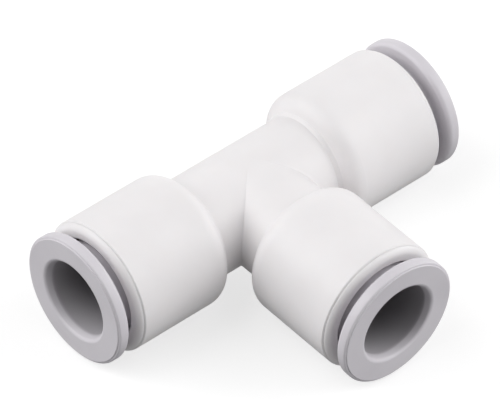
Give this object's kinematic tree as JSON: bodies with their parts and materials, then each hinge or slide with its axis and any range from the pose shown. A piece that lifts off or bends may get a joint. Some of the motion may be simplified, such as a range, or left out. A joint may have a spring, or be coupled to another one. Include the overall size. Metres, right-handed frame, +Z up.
{
  "type": "push-in tee fitting",
  "caption": "White plastic union tee that joins three 8 mm tubes: thick round sockets with grey push-in release collars on a slimmer hub.",
  "frame": {"origin": "centre of the part's box in plan, at the level of the surface that it lies on", "axes": "+X along the run from the left port to the right port, -Y out of the branch port, +Z up from the surface"},
  "size_m": [0.0456, 0.03, 0.0145],
  "materials": {
    "white_plastic": "satin moulded",
    "grey_plastic": "satin moulded",
    "inner_plastic": "satin moulded",
    "spring_steel": "stamped and rolled",
    "seal_rubber": "satin"
  },
  "bodies": {
    "body": {"tee_body": "white_plastic", "left_seal_ring": "seal_rubber", "left_support_ring": "inner_plastic", "left_end_cap": "white_plastic", "right_seal_ring": "seal_rubber", "right_support_ring": "inner_plastic", "right_end_cap": "white_plastic", "branch_seal_ring": "seal_rubber", "branch_support_ring": "inner_plastic", "branch_end_cap": "white_plastic"},
    "left_claw": {"left_claw_ring": "spring_steel"},
    "left_collar": {"left_release_collar": "grey_plastic"},
    "right_claw": {"right_claw_ring": "spring_steel"},
    "right_collar": {"right_release_collar": "grey_plastic"},
    "branch_claw": {"branch_claw_ring": "spring_steel"},
    "branch_collar": {"branch_release_collar": "grey_plastic"}
  },
  "joints": [
    {"name": "left_turn", "type": "hinge", "parent": "body", "child": "left_claw", "pos_m": [-0.01465, 0.00777, 0.00725], "axis": [-1, 0, 0], "continuous": true},
    {"name": "left_release", "type": "slide", "parent": "left_claw", "child": "left_collar", "axis": [1, 0, 0], "range_m": [0, 0.0011], "stiffness_N_per_m": 2000, "deforming": ["left_claw_ring"]},
    {"name": "right_turn", "type": "hinge", "parent": "body", "child": "right_claw", "pos_m": [0.01465, 0.00777, 0.00725], "axis": [1, 0, 0], "continuous": true},
    {"name": "right_release", "type": "slide", "parent": "right_claw", "child": "right_collar", "axis": [-1, 0, 0], "range_m": [0, 0.0011], "stiffness_N_per_m": 2000, "deforming": ["right_claw_ring"]},
    {"name": "branch_turn", "type": "hinge", "parent": "body", "child": "branch_claw", "pos_m": [0, -0.00688, 0.00725], "axis": [0, -1, 0], "continuous": true},
    {"name": "branch_release", "type": "slide", "parent": "branch_claw", "child": "branch_collar", "axis": [0, 1, 0], "range_m": [0, 0.0011], "stiffness_N_per_m": 2000, "deforming": ["branch_claw_ring"]}
  ]
}
